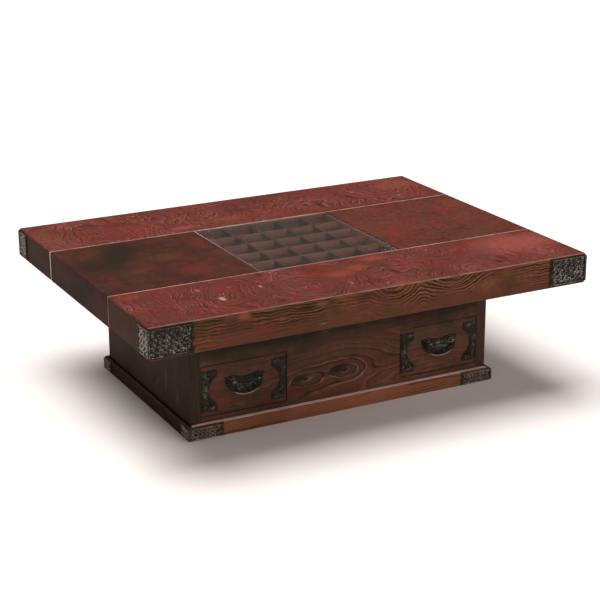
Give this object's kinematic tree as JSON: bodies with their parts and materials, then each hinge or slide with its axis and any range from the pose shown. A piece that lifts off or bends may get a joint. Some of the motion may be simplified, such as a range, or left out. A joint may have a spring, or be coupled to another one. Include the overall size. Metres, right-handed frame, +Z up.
{
  "type": "low table",
  "caption": "Low rectangular wooden table with a thick plank top, a flush glass pane over a lattice of display compartments, small drawers with bail handles and iron corner fittings.",
  "frame": {"origin": "on the floor, under the middle of the table", "axes": "+X along the table's length to the right, +Y to the rear, +Z up; the drawers open towards -Y"},
  "size_m": [1.2066, 0.9066, 0.374],
  "materials": {
    "plank_wood": "glossy lacquer over strongly figured red-brown wood",
    "band_wood": "glossy lacquer over darker, plainer wood",
    "case_wood": "dark stained wood, satin lacquer",
    "front_wood": "dark red-brown stained wood with large arched grain, satin lacquer",
    "plinth_wood": "red-brown stained wood, satin lacquer",
    "tray_wood": "dark brown stained wood",
    "inner_wood": "plain pale wood",
    "iron": "blackened cast iron with rubbed high spots",
    "glass": "clear float glass with ground edges",
    "steel": "plain steel"
  },
  "bodies": {
    "root": {"front_plank": "plank_wood", "rear_plank": "plank_wood", "left_panel": "band_wood", "right_panel": "band_wood", "slab_iron_front_left": "iron", "slab_iron_front_right": "iron", "slab_iron_rear_left": "iron", "slab_iron_rear_right": "iron", "tray_front_wall": "tray_wood", "tray_rear_wall": "tray_wood", "tray_left_wall": "tray_wood", "tray_right_wall": "tray_wood", "tray_bottom": "tray_wood", "lattice_long_slats": "tray_wood", "lattice_cross_slats": "tray_wood", "left_stile": "case_wood", "right_stile": "case_wood", "case_left_side": "case_wood", "case_right_side": "case_wood", "case_back": "case_wood", "case_bottom": "inner_wood", "upper_front_board": "front_wood", "lower_front_rail": "front_wood", "centre_front_panel": "front_wood", "left_partition": "inner_wood", "right_partition": "inner_wood", "dust_board": "inner_wood", "left_top_rail": "inner_wood", "right_top_rail": "inner_wood", "top_screws": "steel", "drawer_guides": "inner_wood", "plinth_front": "plinth_wood", "plinth_rear": "plinth_wood", "plinth_left": "plinth_wood", "plinth_right": "plinth_wood", "plinth_blocks": "inner_wood", "plinth_iron_front_left": "iron", "plinth_iron_front_right": "iron", "plinth_iron_rear_left": "iron", "plinth_iron_rear_right": "iron", "iron_nails": "iron"},
    "glass": {"glass_pane": "glass"},
    "left_drawer": {"left_drawer_front": "front_wood", "left_drawer_outer_side": "inner_wood", "left_drawer_inner_side": "inner_wood", "left_drawer_back": "inner_wood", "left_drawer_bottom": "inner_wood", "left_drawer_brackets": "iron", "left_handle_plate": "iron", "left_handle_posts": "iron"},
    "left_bail": {"left_bail": "iron"},
    "right_drawer": {"right_drawer_front": "front_wood", "right_drawer_outer_side": "inner_wood", "right_drawer_inner_side": "inner_wood", "right_drawer_back": "inner_wood", "right_drawer_bottom": "inner_wood", "right_drawer_brackets": "iron", "right_handle_plate": "iron", "right_handle_posts": "iron"},
    "right_bail": {"right_bail": "iron"}
  },
  "joints": [
    {"name": "glass_lift", "type": "slide", "parent": "root", "child": "glass", "axis": [0, 0, 1], "range_m": [0, 0.05]},
    {"name": "left_drawer_slide", "type": "slide", "parent": "root", "child": "left_drawer", "axis": [0, -1, 0], "range_m": [0, 0.35]},
    {"name": "right_drawer_slide", "type": "slide", "parent": "root", "child": "right_drawer", "axis": [0, -1, 0], "range_m": [0, 0.35]},
    {"name": "left_bail_swing", "type": "hinge", "parent": "left_drawer", "child": "left_bail", "pos_m": [-0.28, -0.28, 0.131], "axis": [-1, 0, 0], "range_deg": [0, 160]},
    {"name": "right_bail_swing", "type": "hinge", "parent": "right_drawer", "child": "right_bail", "pos_m": [0.28, -0.28, 0.131], "axis": [-1, 0, 0], "range_deg": [0, 160]}
  ]
}
